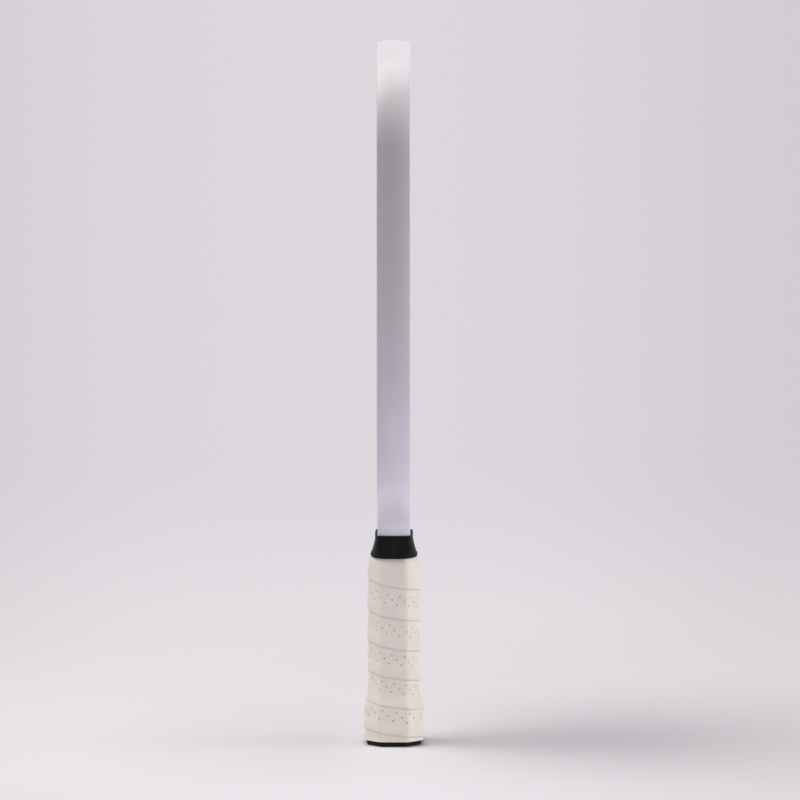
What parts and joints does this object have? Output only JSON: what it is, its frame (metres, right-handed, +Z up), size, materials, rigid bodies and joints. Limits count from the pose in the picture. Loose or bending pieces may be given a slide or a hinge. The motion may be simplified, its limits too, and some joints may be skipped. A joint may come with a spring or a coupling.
{
  "type": "pickleball paddle",
  "caption": "Long sandwich-core paddle with a white edge guard, an octagonal handle wrapped in perforated off-white tape, a black rubber collar and a flared black butt cap.",
  "frame": {"origin": "centre of the butt cap's flat bottom, on the floor that the paddle stands on", "axes": "+Z up the handle to the blade's tip, +X across the blade's width, -Y out of the front face"},
  "size_m": [0.19, 0.036, 0.419],
  "materials": {
    "core_polymer": "translucent white extruded polypropylene cells",
    "bond_film": "thin cured adhesive film",
    "face_composite": "fine gritty woven composite with a peel-ply texture",
    "guard_white": "smooth satin white moulding",
    "adhesive_tape": "clear double-sided adhesive tape",
    "handle_moulding": "rigid moulded structural foam",
    "cap_black": "black moulded plastic with a fine satin grain",
    "tack_steel": "plated steel wire",
    "badge_black": "plain glossy disc",
    "cushion_black": "soft foamed cushion",
    "overgrip_white": "off-white perforated synthetic wrap, dry and slightly tacky",
    "finish_tape": "thin vinyl tape",
    "collar_rubber": "matt black stretched rubber"
  },
  "bodies": {
    "root": {"honeycomb_core": "core_polymer", "front_bond_film": "bond_film", "rear_bond_film": "bond_film", "front_face_sheet": "face_composite", "rear_face_sheet": "face_composite", "edge_guard": "guard_white", "edge_guard_tape": "adhesive_tape", "front_handle_half": "handle_moulding", "rear_handle_half": "handle_moulding", "butt_cap": "cap_black", "butt_cap_tacks": "tack_steel", "butt_badge": "badge_black", "grip_staple": "tack_steel", "base_grip": "cushion_black", "overgrip": "overgrip_white", "finishing_tape": "finish_tape", "throat_collar": "collar_rubber"}
  },
  "joints": []
}
